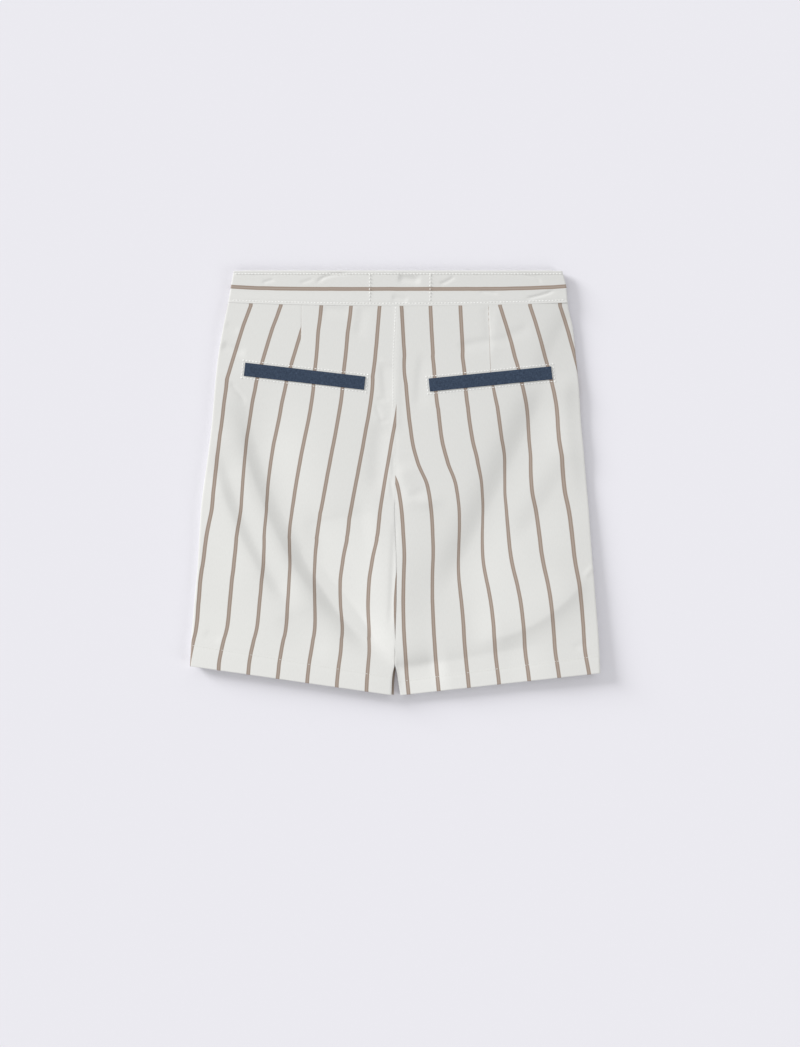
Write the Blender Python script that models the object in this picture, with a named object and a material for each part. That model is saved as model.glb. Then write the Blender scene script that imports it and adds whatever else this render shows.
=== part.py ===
"""A child's tailored bermuda shorts, laid flat with the back up.

Lengths in the tables are millimetres. "drop" is measured down the garment from the top edge of
the back waistband, and x runs to the right from the middle of the laid-out shorts.
The shorts lie on the plane z = 0, with the waist towards +Y.
"""
import math
from collections import namedtuple

import bmesh
import bpy
import numpy

MM = 0.001

# Whole garment
BACK_LENGTH = 381.2         # top of the waistband to the lowest hem corner
FRONT_PEEP = 0.9            # the front waistband's edge shows this far above the back's
SEAM_GAP = 0.3              # between pieces that are sewn together
CROTCH_DROP = 214.0
CROTCH_BLEND = 16.0         # over this length the flat back seam turns into two inseam edges

# Cloth walls, measured upright
CLOTH = 1.1
HEM_CLOTH = 1.6             # the turned-up hem
BAND_CLOTH = 1.4            # waistband and its facing
WELT_CLOTH = 1.0
HEM_DEPTH = 15.0
FRONT_INSET = 1.75          # the front lies inside the back's turned-down edges
HEM_INSET = 2.5
BAND_INSET = 2.2

# Heights of the top face over the surface it lies on
LAID_HEIGHT = 4.1
BAND_HEIGHT = 4.0
SIDE_ROLL = 3.6             # how far in from the side seam the cloth has turned level
INSEAM_ROLL = 1.8
ROLL_STEPS = 4

# Waist seam, a shallow curve that hangs lowest at the middle
SEAM_DROP = 31.5
SEAM_RISE = 3.1             # how much higher it is at the side seams
HALF_WAIST = 152.0

# Grid of each piece
BACK_ROWS = 36
BACK_COLUMNS = 18
FRONT_ROWS = 24
FRONT_COLUMNS = 6
BAND_ROWS = 4
BAND_COLUMNS = 26
WELT_COLUMNS = 14
WELT_ROWS = 2

# The outline, a row for each level: side seams, the middle seam and the parting between the legs
Section = namedtuple("Section", "drop left_side middle parting right_side")
SECTIONS = (
    Section(0, -145.1, 3.4, 0.3, 150.1),
    Section(14, -147.6, 3.4, 0.3, 153.7),
    Section(28, -150.0, 3.4, 0.3, 154.9),
    Section(53, -155.0, 2.5, 0.3, 160.0),
    Section(80, -159.5, 1.2, 0.3, 162.7),
    Section(107, -162.2, 1.2, 0.3, 165.3),
    Section(134, -164.4, 1.0, 0.3, 166.9),
    Section(161, -167.6, 0.5, 0.3, 169.4),
    Section(188, -171.2, 0.1, 0.3, 171.7),
    Section(215, -174.5, -0.4, 0.4, 174.0),
    Section(242, -176.1, -0.2, 0.6, 175.9),
    Section(269, -177.7, -0.1, 0.6, 178.0),
    Section(296, -180.2, -0.1, 0.6, 180.1),
    Section(327, -182.6, -0.2, 0.6, 182.5),
    Section(353, -184.1, -0.3, 0.8, 183.8),
    Section(382, -185.6, 0.7, 8.2, 185.0),
)

# Each leg's hem is a straight line from the side seam to the inseam
Hem = namedtuple("Hem", "side_drop inseam_drop")
HEMS = {"left": Hem(355.0, 380.9), "right": Hem(361.3, 381.2)}

# Folds of the back, a row each: a soft ridge or trough along a curve through three points
Fold = namedtuple("Fold", "x0 drop0 x1 drop1 x2 drop2 half_width rise")
FOLDS = (
    Fold(-147, 108, -103, 237, -2, 351, 9, -1.7),     # left leg, hip to inner hem
    Fold(-120, 116, -84, 224, -8, 322, 15, 0.8),      # the ridge above it
    Fold(-156, 165, -137, 228, -99, 296, 8, -0.8),    # left leg, near the side seam
    Fold(136, 110, 86, 206, 38, 292, 10, -1.5),       # right leg, hip to inseam
    Fold(162, 179, 142, 216, 121, 260, 10, -0.6),     # right leg, near the side seam
    Fold(6, 344, 77, 338, 176, 287, 10, -1.0),        # right leg, above the hem
    Fold(3, 176, 13, 203, 38, 208, 6, -0.9),          # under the seat, right of the crotch
)

# Broad rounded places of the back
Swell = namedtuple("Swell", "x drop half_across half_along rise")
SWELLS = (
    Swell(-17, 305, 17, 55, 1.2),      # left leg, along the inseam
    Swell(-75, 165, 55, 60, 0.4),      # left seat
    Swell(60, 150, 50, 60, 0.4),       # right seat
    Swell(20, 255, 22, 45, 0.5),       # right leg, along the inseam
    Swell(-140, 320, 40, 40, 0.3),     # left leg, outer hem
    Swell(95, 290, 35, 40, 0.5),       # right leg, between its folds
)

# Pocket welts as they lie: middle, size and slope (degrees, down towards the middle seam)
Welt = namedtuple("Welt", "x drop long wide slope")
WELTS = {
    "welt_left": Welt(-81.3, 94.6, 108.7, 12.0, -6.6),
    "welt_right": Welt(85.6, 97.0, 110.7, 11.8, 5.7),
}

Finish = namedtuple("Finish", "name colour roughness")
COTTON = Finish("cotton_stripe", (0.80, 0.80, 0.76, 1.0), 0.85)
CHAMBRAY = Finish("chambray", (0.045, 0.065, 0.115, 1.0), 0.9)


# ---------------------------------------------------------------- helpers

def clear_scene():
    for item in list(bpy.data.objects):
        bpy.data.objects.remove(item, do_unlink=True)


def mix(start, end, share):
    return start + (end - start) * share


def ease(share):
    """0 to 1 with a soft start and end."""
    share = min(max(share, 0.0), 1.0)
    return share * share * (3 - 2 * share)


def smooth_column(column, drop):
    """One column of SECTIONS at any level, on a smooth curve that never overshoots its rows."""
    levels = [row.drop for row in SECTIONS]
    values = [getattr(row, column) for row in SECTIONS]
    steps = numpy.diff(levels)
    rises = numpy.diff(values) / steps
    slopes = [rises[0]]
    for before, after in zip(rises, rises[1:]):
        slopes.append(2 * before * after / (before + after) if before * after > 0 else 0.0)
    slopes.append(rises[-1])
    row = min(max(int(numpy.searchsorted(levels, drop, side="right")) - 1, 0), len(steps) - 1)
    t = (drop - levels[row]) / steps[row]
    return (
        (2 * t**3 - 3 * t**2 + 1) * values[row]
        + (t**3 - 2 * t**2 + t) * steps[row] * slopes[row]
        + (3 * t**2 - 2 * t**3) * values[row + 1]
        + (t**3 - t**2) * steps[row] * slopes[row + 1]
    )


def seam_drop(x):
    """Level of the waist seam."""
    return SEAM_DROP - SEAM_RISE * (x / HALF_WAIST) ** 2


def edges_of(side, drop):
    """x of a leg's left and right edge at a level."""
    middle = smooth_column("middle", drop)
    half_parting = smooth_column("parting", drop) / 2
    if side == "left":
        return smooth_column("left_side", drop), middle - half_parting
    return middle + half_parting, smooth_column("right_side", drop)


def hem_drop(side, across):
    """Level of a leg's hem; across runs from 0 at its left edge to 1 at its right."""
    hem = HEMS[side]
    if side == "left":
        return mix(hem.side_drop, hem.inseam_drop, across)
    return mix(hem.inseam_drop, hem.side_drop, across)


def fold_curve(fold, share):
    """Point of the curve that starts, passes and ends at the fold's three points."""
    bend_x = 2 * fold.x1 - (fold.x0 + fold.x2) / 2
    bend_drop = 2 * fold.drop1 - (fold.drop0 + fold.drop2) / 2
    before, after = (1 - share) ** 2, share**2
    between = 2 * share * (1 - share)
    return (
        before * fold.x0 + between * bend_x + after * fold.x2,
        before * fold.drop0 + between * bend_drop + after * fold.drop2,
    )


CURVE_STEPS = 24
FOLD_CURVES = [
    numpy.array([fold_curve(fold, step / CURVE_STEPS) for step in range(CURVE_STEPS + 1)])
    for fold in FOLDS
]


def fold_height(fold, curve, x, drop):
    """Rise of one fold at a place: a bell across the curve that fades in and out along it."""
    starts, runs = curve[:-1], numpy.diff(curve, axis=0)
    place = numpy.array((x, drop))
    along = numpy.clip(((place - starts) * runs).sum(1) / (runs**2).sum(1), 0, 1)
    distances = numpy.linalg.norm(starts + runs * along[:, None] - place, axis=1)
    nearest = int(numpy.argmin(distances))
    share = (nearest + along[nearest]) / CURVE_STEPS
    fade = ease(share / 0.25) * ease((1 - share) / 0.25)
    return fold.rise * fade * math.exp(-((distances[nearest] / fold.half_width) ** 2))


def top_height(x, drop):
    """Height of the back's top face away from its edges."""
    height = LAID_HEIGHT
    for swell in SWELLS:
        across = (x - swell.x) / swell.half_across
        along = (drop - swell.drop) / swell.half_along
        height += swell.rise * math.exp(-(across**2) - along**2)
    for fold, curve in zip(FOLDS, FOLD_CURVES):
        height += fold_height(fold, curve, x, drop)
    return height


def point(x, drop, z):
    """A place on the garment, in metres, with the middle of its length at y = 0."""
    return (x * MM, ((BACK_LENGTH - FRONT_PEEP) / 2 - drop) * MM, z * MM)


def make_finish(finish):
    material = bpy.data.materials.new(finish.name)
    material.use_nodes = True
    shader = material.node_tree.nodes["Principled BSDF"]
    shader.inputs["Base Color"].default_value = finish.colour
    shader.inputs["Roughness"].default_value = finish.roughness
    shader.inputs["Metallic"].default_value = 0.0
    return material


def make_wall(name, outer, inner, finish):
    """Closed solid between two grids of points, which share their rim's order."""
    rows, columns = len(outer), len(outer[0])
    mesh = bmesh.new()
    top = [[mesh.verts.new(place) for place in row] for row in outer]
    under = [[mesh.verts.new(place) for place in row] for row in inner]
    for row in range(rows - 1):
        for column in range(columns - 1):
            corners = (
                (row, column), (row + 1, column), (row + 1, column + 1), (row, column + 1)
            )
            mesh.faces.new([top[r][c] for r, c in corners])
            mesh.faces.new([under[r][c] for r, c in reversed(corners)])
    rim = [(0, column) for column in range(columns)]
    rim += [(row, columns - 1) for row in range(1, rows)]
    rim += [(rows - 1, column) for column in range(columns - 2, -1, -1)]
    rim += [(row, 0) for row in range(rows - 2, 0, -1)]
    for here, there in zip(rim, rim[1:] + rim[:1]):
        mesh.faces.new((
            top[here[0]][here[1]], top[there[0]][there[1]],
            under[there[0]][there[1]], under[here[0]][here[1]],
        ))
    bmesh.ops.recalc_face_normals(mesh, faces=mesh.faces)
    data = bpy.data.meshes.new(name)
    mesh.to_mesh(data)
    mesh.free()
    data.shade_smooth()
    data.set_sharp_from_angle(angle=math.radians(50))
    data.materials.append(make_finish(finish))
    piece = bpy.data.objects.new(name, data)
    bpy.context.scene.collection.objects.link(piece)
    return piece


# ---------------------------------------------------------------- cross section

# One column of a piece's grid. On a rolled edge, turn is how far the cloth has turned from
# upright (0) to level (1); elsewhere share places it between the two rolls.
Column = namedtuple("Column", "edge turn share")


def grid_columns(inner_count):
    left = [Column("left", step / ROLL_STEPS, 0.0) for step in range(ROLL_STEPS)]
    inner = [Column("", 1.0, step / inner_count) for step in range(inner_count + 1)]
    right = [Column("right", step / ROLL_STEPS, 1.0) for step in range(ROLL_STEPS - 1, -1, -1)]
    return left + inner + right


def rolled_place(column, left, right, rolls, turned, height, cloth):
    """x and z of the top and under face of one column.

    rolls gives each edge's roll, and turned how far each edge turns down, from 0 to 1.
    """
    if not column.edge:
        x = mix(left + rolls["left"], right - rolls["right"], column.share)
        return (x, height), (x, height - cloth)
    roll, down = rolls[column.edge], turned[column.edge]
    angle = column.turn * math.pi / 2
    level = height - cloth
    outer_in = roll * (1 - math.cos(angle))
    under_in = mix(outer_in, cloth + (roll - cloth) * (1 - math.cos(angle)), down)
    outer_z = height * mix(1, math.sin(angle), down)
    under_z = level * mix(1, math.sin(angle), down)
    edge_x, inwards = (left, 1) if column.edge == "left" else (right, -1)
    return (edge_x + inwards * outer_in, outer_z), (edge_x + inwards * under_in, under_z)


# ---------------------------------------------------------------- pieces

def row_levels(count, side):
    """Shares of the way from the waist seam to the hem, with one row on the hem's inner fold."""
    fold_share = 1 - HEM_DEPTH / (HEMS[side].inseam_drop - SEAM_DROP)
    upper = [fold_share * row / (count - 2) for row in range(count - 1)]
    return upper + [fold_share + 0.006, mix(fold_share, 1, 0.5), 1.0]


def back_panel(side):
    """Half of the back: side seam to centre back seam, and below the crotch to the inseam."""
    columns = grid_columns(BACK_COLUMNS)
    inner_edge = "right" if side == "left" else "left"
    outer_edge = side
    rolls = {inner_edge: INSEAM_ROLL, outer_edge: SIDE_ROLL}
    levels = row_levels(BACK_ROWS, side)
    hem_start = levels[-3]
    outer, inner = [], []
    for level in levels:
        cloth = HEM_CLOTH if level >= hem_start else CLOTH
        outer_row, inner_row = [], []
        for column in columns:
            left, right = edges_of(side, mix(SEAM_DROP, hem_drop(side, column.share), level))
            across_x = mix(left, right, column.share)
            waist = seam_drop(across_x) + SEAM_GAP / 2
            drop = mix(waist, hem_drop(side, column.share), level)
            left, right = edges_of(side, drop)
            parted = ease((drop - CROTCH_DROP) / CROTCH_BLEND + 0.5)
            turned = {inner_edge: parted, outer_edge: 1.0}
            height = top_height(mix(left, right, column.share), drop)
            top, under = rolled_place(column, left, right, rolls, turned, height, cloth)
            outer_row.append(point(top[0], drop, top[1]))
            inner_row.append(point(under[0], drop, under[1]))
        outer.append(outer_row)
        inner.append(inner_row)
    return make_wall(f"back_panel_{side}", outer, inner, COTTON)


def front_panel(side):
    """Half of the front, flat on the surface, inside the back's turned-down edges."""
    levels = row_levels(FRONT_ROWS, side)
    hem_start = levels[-3]
    outer, inner = [], []
    for level in levels:
        at_hem = level >= hem_start
        cloth = HEM_CLOTH if at_hem else CLOTH
        inset = HEM_INSET if at_hem else FRONT_INSET
        outer_row, inner_row = [], []
        for column in range(FRONT_COLUMNS + 1):
            across = column / FRONT_COLUMNS
            left, right = edges_of(side, mix(SEAM_DROP, hem_drop(side, across), level))
            waist = seam_drop(mix(left, right, across)) + SEAM_GAP / 2
            drop = mix(waist, hem_drop(side, across), level)
            left, right = edges_of(side, drop)
            parted = ease((drop - CROTCH_DROP) / CROTCH_BLEND + 0.5)
            if side == "left":
                left, right = left + inset, right - inset * parted
            else:
                left, right = left + inset * parted, right - inset
            x = mix(left, right, across)
            outer_row.append(point(x, drop, cloth))
            inner_row.append(point(x, drop, 0))
        outer.append(outer_row)
        inner.append(inner_row)
    return make_wall(f"front_panel_{side}", outer, inner, COTTON)


def back_waistband():
    """One strip across the back, turned down at both side seams."""
    columns = grid_columns(BAND_COLUMNS)
    rolls = {"left": SIDE_ROLL, "right": SIDE_ROLL}
    turned = {"left": 1.0, "right": 1.0}
    outer, inner = [], []
    for row in range(BAND_ROWS + 1):
        outer_row, inner_row = [], []
        for column in columns:
            across_x = mix(-HALF_WAIST, HALF_WAIST, column.share)
            drop = (seam_drop(across_x) - SEAM_GAP / 2) * row / BAND_ROWS
            left = smooth_column("left_side", drop)
            right = smooth_column("right_side", drop)
            top, under = rolled_place(
                column, left, right, rolls, turned, BAND_HEIGHT, BAND_CLOTH
            )
            outer_row.append(point(top[0], drop, top[1]))
            inner_row.append(point(under[0], drop, under[1]))
        outer.append(outer_row)
        inner.append(inner_row)
    return make_wall("back_waistband", outer, inner, COTTON)


def front_waistband(side):
    """Half of the front strip, flat on the surface, meeting its twin at the centre front."""
    outer, inner = [], []
    for row in range(BAND_ROWS + 1):
        outer_row, inner_row = [], []
        for column in range(FRONT_COLUMNS + 1):
            across = column / FRONT_COLUMNS
            left, right = edges_of(side, 0)
            low = seam_drop(mix(left, right, across)) - SEAM_GAP / 2
            drop = mix(-FRONT_PEEP, low, row / BAND_ROWS)
            left, right = edges_of(side, max(drop, 0))
            if side == "left":
                left += BAND_INSET
            else:
                right -= BAND_INSET
            x = mix(left, right, across)
            outer_row.append(point(x, drop, BAND_CLOTH))
            inner_row.append(point(x, drop, 0))
        outer.append(outer_row)
        inner.append(inner_row)
    return make_wall(f"front_waistband_{side}", outer, inner, COTTON)


def pocket_welt(name):
    """A chambray strip made from the points of the back below it, moved out."""
    welt = WELTS[name]
    slope = math.radians(welt.slope)
    outer, inner = [], []
    for row in range(WELT_ROWS + 1):
        outer_row, inner_row = [], []
        for column in range(WELT_COLUMNS + 1):
            along = (column / WELT_COLUMNS - 0.5) * welt.long
            down = (row / WELT_ROWS - 0.5) * welt.wide
            x = welt.x + along * math.cos(slope) + down * math.sin(slope)
            drop = welt.drop - along * math.sin(slope) + down * math.cos(slope)
            height = top_height(x, drop) + SEAM_GAP
            outer_row.append(point(x, drop, height + WELT_CLOTH))
            inner_row.append(point(x, drop, height))
        outer.append(outer_row)
        inner.append(inner_row)
    return make_wall(name, outer, inner, CHAMBRAY)


def build_shorts():
    clear_scene()
    for side in ("left", "right"):
        front_panel(side)
        front_waistband(side)
        back_panel(side)
    back_waistband()
    for name in WELTS:
        pocket_welt(name)


build_shorts()
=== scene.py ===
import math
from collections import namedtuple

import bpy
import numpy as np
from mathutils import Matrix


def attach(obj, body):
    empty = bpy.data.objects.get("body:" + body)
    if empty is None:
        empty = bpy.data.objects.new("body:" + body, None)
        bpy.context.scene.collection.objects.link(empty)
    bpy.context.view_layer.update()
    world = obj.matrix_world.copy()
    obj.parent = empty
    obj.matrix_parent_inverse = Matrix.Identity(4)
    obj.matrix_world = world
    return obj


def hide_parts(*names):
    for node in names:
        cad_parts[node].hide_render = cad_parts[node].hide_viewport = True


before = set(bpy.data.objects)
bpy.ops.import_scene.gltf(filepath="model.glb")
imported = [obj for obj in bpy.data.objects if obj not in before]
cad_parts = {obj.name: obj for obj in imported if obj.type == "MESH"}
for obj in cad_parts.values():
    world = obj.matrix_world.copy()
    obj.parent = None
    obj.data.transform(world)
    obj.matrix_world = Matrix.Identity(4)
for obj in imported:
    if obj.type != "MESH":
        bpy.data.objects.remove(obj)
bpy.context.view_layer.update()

# The looks of a child's tailored bermuda shorts, laid flat with the back up.
#
# Lengths are millimetres, unless a comment says otherwise. "drop" is measured down the garment
# from the top edge of the back waistband, and x runs to the right from the middle of the laid-out
# shorts. Each shell has its solid's outline, and its main folds lie where the solid's do, but are
# deeper. Creases, seams, turned-up hems and stitches are added to them here.

MM = 0.001

# ---------------------------------------------------------------- sizes

BACK_LENGTH = 381.2
FRONT_PEEP = 0.9            # of the front waistband above the back's
SEAM_GAP = 0.06             # between the waistband and the legs
CROTCH_DROP = 214.0
NOTCH_DROP = 347.0          # where the legs part
PARTING_BLEND = 16.0        # over which the cloth changes at either
PRESSED_FROM, PRESSED_OVER = 316.0, 14.0   # where the left inseam lies pressed, above the notch

# What shows of each piece's thickness at its edges
THIN_CLOTH = 0.7
THICK_HEM = 1.3
THICK_BAND = 1.2
THICK_WELT = 0.6
THICK_FRONT = 0.8
THICK_FRONT_BAND = 1.0

LAID_HEIGHT = 6.3
LOWEST = 1.5                # the back lies on the front's cloth
# The cloth rises towards the turned-up hem, which is stiffer, and steps up to its double cloth
HEM_RISE, HEM_RISE_FROM, HEM_RISE_OVER = 2.0, 300.0, 75.0
HEM_PROUD, HEM_STEP_OVER = 0.1, 1.5
FRONT_HEM_DEEP = 15.0
# The waistband lies a little lower along its top edge
BAND_HEIGHT = 6.3
BAND_TOP_LOWER, BAND_LOWER_UNTIL, BAND_LEVEL_OVER = 0.45, 17.0, 13.0
# At the sides and inseams the cloth turns under: a lip at the outline, above the surface, from
# which it tucks in to the front
SIDE_ROLL, SIDE_TUCK = 0.2, 6.0
INSEAM_ROLL, INSEAM_TUCK = 0.3, 1.4
LIP_SHARE = 0.86            # of the height
LIP_UNDER, LIP_LEAST = 0.1, 0.3   # below the cloth's under face, and above the surface
LIP_TAKES = 2.0             # cloth that bends over the lip
FRONT_CLEAR = 0.4           # between the tucked edge and the front's cloth
# By which the front's cloth shows in the notch, and where that begins below it
PEEP, PEEP_BELOW, PEEP_OVER = 2.0, 4.0, 8.0
# What is left of the thickness at a rounded rim. The waistband's rims have a radius and a share
RIM_LEAST = 0.12
BAND_TOP_RIM, BAND_LOW_RIM = (0.35, 0.5), (0.2, 0.9)

# The seam under the waistband is higher at both ends of the waist
SEAM_DROP, SEAM_RISE = 31.5, 3.1
HALF_WAIST = 152.0

# The outline at each level: both sides, the middle where the legs meet, and the gap between them
Section = namedtuple("Section", "drop left_side middle parting right_side")
SECTIONS = (
    Section(0, -145.1, 3.4, 0.0, 150.1),
    Section(14, -147.6, 3.4, 0.0, 153.7),
    Section(28, -150.0, 3.4, 0.0, 154.9),
    Section(53, -155.0, 2.5, 0.0, 160.0),
    Section(80, -159.5, 1.2, 0.0, 162.7),
    Section(107, -162.2, 1.2, 0.0, 165.3),
    Section(134, -164.4, 1.0, 0.0, 166.9),
    Section(161, -167.6, 0.5, 0.0, 169.4),
    Section(188, -171.2, 0.1, 0.0, 171.7),
    Section(215, -174.5, -0.4, 0.0, 174.0),
    Section(242, -176.1, 0.5, 0.0, 175.9),
    Section(269, -177.7, 1.4, 0.0, 178.0),
    Section(296, -180.2, 1.2, 0.0, 180.1),
    Section(327, -182.6, 0.1, 0.0, 182.5),
    Section(352, -184.1, -0.3, 0.1, 183.8),
    Section(362, -184.5, -0.4, 3.8, 184.2),
    Section(382, -185.6, 0.7, 8.2, 185.0),
)

# Where each hem lies, and how deep its turned-up cloth shows, at the side and at the inseam
Hem = namedtuple("Hem", "side_drop inseam_drop side_depth inseam_depth")
HEMS = {"left": Hem(355.0, 380.9, 19.0, 15.5), "right": Hem(361.3, 381.2, 15.8, 12.2)}

# Folds and creases: a curve through three points, the half width on either side of it, and the
# rise. Left and right are those of a curve that runs down the garment, so a curve that runs
# across to the right has its lower side for left. A crisp side starts at an edge, without the
# rounding of a bell. Fades is the share of its length over which each end runs out, and begins
# is that share at its start where it differs.
Fold = namedtuple(
    "Fold", "x0 drop0 x1 drop1 x2 drop2 half_left half_right crisp rise fades begins",
    defaults=(0,),
)
FOLDS = (
    # left leg, from the side down to the inseam
    Fold(-136, 88, -93, 232, 14, 362, 14, 32, "", -4.2, 0.2, 0.26),
    Fold(-100, 230, -70, 278, -30, 320, 10, 11, "", -1.8, 0.35),
    Fold(-144, 126, -110, 231, -57, 312, 45, 9, "right", 1.9, 0.25),
    Fold(-158, 150, -130, 233, -86, 310, 8, 17, "", -1.8, 0.2),
    Fold(-160, 179, -143, 230, -106, 297, 25, 6, "right", 1.0, 0.25),
    Fold(-86, 231, -51, 223, -15, 218, 35, 12, "right", -1.1, 0.25),
    Fold(-10, 132, -15, 165, -16, 204, 9, 10, "", -0.9, 0.25),
    # right leg
    Fold(142, 98, 99, 187, 40, 302, 16, 36, "", -3.0, 0.2),
    Fold(165, 161, 141, 204, 107, 251, 14, 30, "", -1.6, 0.25),
    Fold(154, 90, 152, 138, 164, 215, 16, 9, "", 0.9, 0.25),
    Fold(164, 33, 147, 62, 131, 100, 10, 28, "", -0.9, 0.2),
    Fold(2, 200, 20, 208, 48, 206, 6, 7, "left", 1.0, 0.4),
    Fold(6, 170, 8, 190, 14, 205, 5, 12, "left", 0.7, 0.3),
    Fold(67, 333, 128, 315, 177, 269, 10, 30, "left", 2.2, 0.25),
)
# At the notch each leg has folds of its own, that run on under the edge of the other
NOTCH_FOLDS = {
    "left": (Fold(-62, 284, -24, 329, 24, 366, 15, 9, "", -3.6, 0.12, 0.5),),
    "right": (
        Fold(-6, 361, 52, 350, 140, 334, 44, 12, "right", -2.0, 0.22, 0.06),
        Fold(-4, 356, 18, 354, 48, 349, 22, 9, "right", -2.6, 0.3, 0.16),
    ),
}
CRISP_ROUND = 1.2           # at a crisp side's edge

# Rounder places, and lower ones where the rise is negative
Swell = namedtuple("Swell", "x drop half_across half_along rise")
SWELLS = (
    Swell(-3, 297, 24, 58, 2.3),
    Swell(-75, 165, 55, 60, 0.4),
    Swell(60, 150, 50, 60, 0.4),
    Swell(20, 255, 22, 45, 0.4),
    Swell(-140, 320, 40, 40, 0.3),
    Swell(95, 290, 35, 40, 0.4),
    Swell(185, 72, 40, 55, -2.3),
    Swell(196, 200, 42, 80, -2.3),
)

# Small creases that only the shells have
CREASES = (
    Fold(-149, 100, -142, 108, -133, 120, 2, 2, "", -0.5, 0.25),
    Fold(-156, 66, -147, 70, -133, 74, 4, 4, "", -0.7, 0.25),
    Fold(-152, 47, -147, 51, -140, 54, 3, 3, "", -0.3, 0.25),
    Fold(-68, 35, -54, 35, -38, 37, 5, 3, "", -0.35, 0.25),
    Fold(-30, 31, -31, 45, -34, 62, 4, 6, "", -0.35, 0.25),
    Fold(-11, 81, -10, 99, -8, 117, 3, 6, "", -0.4, 0.25),
    Fold(-17, 117, -11, 115, -5, 117, 1.6, 1.6, "", -0.35, 0.25),
    Fold(-18, 120, -15, 127, -12, 135, 1.6, 1.6, "", -0.3, 0.25),
    Fold(-16, 135, -10, 135, -6, 133, 1.6, 1.6, "", -0.35, 0.25),
    Fold(-15, 81, -8, 82, -3, 86, 1.4, 1.4, "", 0.25, 0.25),
    Fold(-4, 184, -3, 195, -2, 207, 1.2, 1.2, "", -0.4, 0.25),
    Fold(0, 222, -2, 268, -5, 328, 2.2, 1.6, "", -0.5, 0.2),
    Fold(-100, 306, -86, 328, -57, 346, 10, 12, "", -0.45, 0.25),
    Fold(-171, 324, -165, 328, -156, 332, 5, 5, "", -0.25, 0.25),
    Fold(3, 22, 1.7, 80, -1, 152, 2.5, 4, "", 0.4, 0.12),
    Fold(-1, 162, -1, 175, -1, 190, 2.2, 1, "", -0.6, 0.3),
    Fold(26, 71, 22, 98, 21, 126, 4, 8, "", -0.4, 0.25),
    Fold(55, 70, 74, 64, 102, 62, 6, 3, "", -0.5, 0.25),
    Fold(94, 63, 108, 56, 122, 49, 6, 4, "", -0.35, 0.25),
    Fold(82, 31, 83, 45, 85, 67, 4, 1.5, "", -0.3, 0.25),
    Fold(91, 31, 90, 54, 87, 85, 3.5, 5, "", 0.25, 0.25),
    Fold(169, 275, 174, 270, 178, 264, 2, 2, "", 0.4, 0.25),
    Fold(159, 339, 166, 336, 175, 332, 2.5, 2.5, "", -0.25, 0.25),
)
BAND_CREASES = (
    Fold(-71, 12, -59, 4, -38, 3, 1.4, 1.4, "", -0.56, 0.25),
    Fold(39, 12, 47, 9, 54, 4, 1.4, 1.4, "", -0.48, 0.25),
    Fold(115, 3, 126, 6, 131, 12, 1.4, 1.4, "", -0.40, 0.25),
    Fold(116, 25, 130, 22, 145, 17, 1.3, 1.3, "", -0.64, 0.25),
    Fold(75, 19, 84, 19, 93, 21, 1.2, 1.2, "", -0.40, 0.25),
    Fold(-120, 11, -114, 9, -108, 8, 1.3, 1.3, "", -0.40, 0.25),
    Fold(-86, 11, -79, 9, -73, 7, 1.3, 1.3, "", -0.32, 0.25),
    Fold(2, 5, 12, 7, 24, 8, 4, 3, "", -1.0, 0.25),
    Fold(-4, 24, 4, 25, 12, 27, 3, 3, "", -0.48, 0.25),
)

# Where a fold holds cloth that it took in, which draws the stripes beyond it inwards; bunch says
# how sharply that grows towards the middle of the curve
Take = namedtuple("Take", "leg x0 drop0 x1 drop1 x2 drop2 half_width takes bunch")
TAKES = (
    Take("left", -147, 97, -103, 237, -2, 352, 9, 9.0, 0.6),
    Take("left", -156, 165, -137, 228, -99, 296, 8, 2.0, 1),
    Take("right", 140, 105, 84, 210, 15, 322, 10, 14.5, 1.8),
    Take("right", 162, 179, 142, 216, 121, 260, 12, 1.5, 1),
    Take("right", 16, 5, 17, 65, 20, 125, 5, 1.3, 0.5),
    Take("right", 4, 77, 5, 90, 5, 102, 2, 1.3, 1),
    Take("right", 17, 77, 17, 90, 17, 102, 3, -1.3, 1),
    Take("left", -27, 8, -27, 31, -28, 56, 6, 1.5, 1),
    Take("left", -9, 95, -11, 150, -22, 225, 5, 2.3, 0.6),
    Take("left", -12, 240, -12, 285, -12, 330, 3, 1.8, 0.5),
    Take("left", -122, 258, -114, 298, -106, 338, 10, 2.4, 1),
    Take("left", -70, 34, -72, 96, -78, 158, 10, 2.1, 1),
)
Reach = namedtuple("Reach", "out flat_from flat_drop")  # how far out it draws, and where it ends
TAKE_REACH = {"left": Reach(150, 318, 374), "right": Reach(100, 255, 335)}

Welt = namedtuple("Welt", "x drop long wide slope")
WELTS = {
    "welt_left": Welt(-81.3, 94.6, 108.7, 12.0, -6.6),
    "welt_right": Welt(85.6, 97.0, 110.7, 11.8, 5.7),
}
WELT_RISE = 0.1             # from the back's cloth to the welt's under face
WELT_CROWN = 0.12

# Darts: x at the waist seam and where the stitching ends, the cloth taken up at the seam, how far
# down its fold still hides cloth and where the last of it is let out
Dart = namedtuple("Dart", "x_top x_end end_drop takes hides_drop fades_drop")
DARTS = {
    "left": Dart(-84.3, -84.3, 67, 17.5, 67, 120),
    "right": Dart(83.9, 84.9, 67, 18.3, 92, 132),
}
DART_ENDS_OVER = 16.0       # its groove
DART_TAPER = 1.5            # power by which it lets the cloth out
# Half width of the step that it makes in the stripes, and how that grows with each mm below
DART_STEP, DART_STEP_GROWS = 0.15, 0.12

# Grooves that the sewing pulls into the cloth
Groove = namedtuple("Groove", "deep half_wide")
DART_GROOVE = Groove(0.05, 0.9)
MIDDLE_GROOVE = Groove(0.12, 0.6)
HEM_GROOVE = Groove(0.1, 1.3)
BAND_TOP_GROOVE = Groove(0.25, 1.1)
BAND_LOW_GROOVE = Groove(0.15, 1.1)

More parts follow.
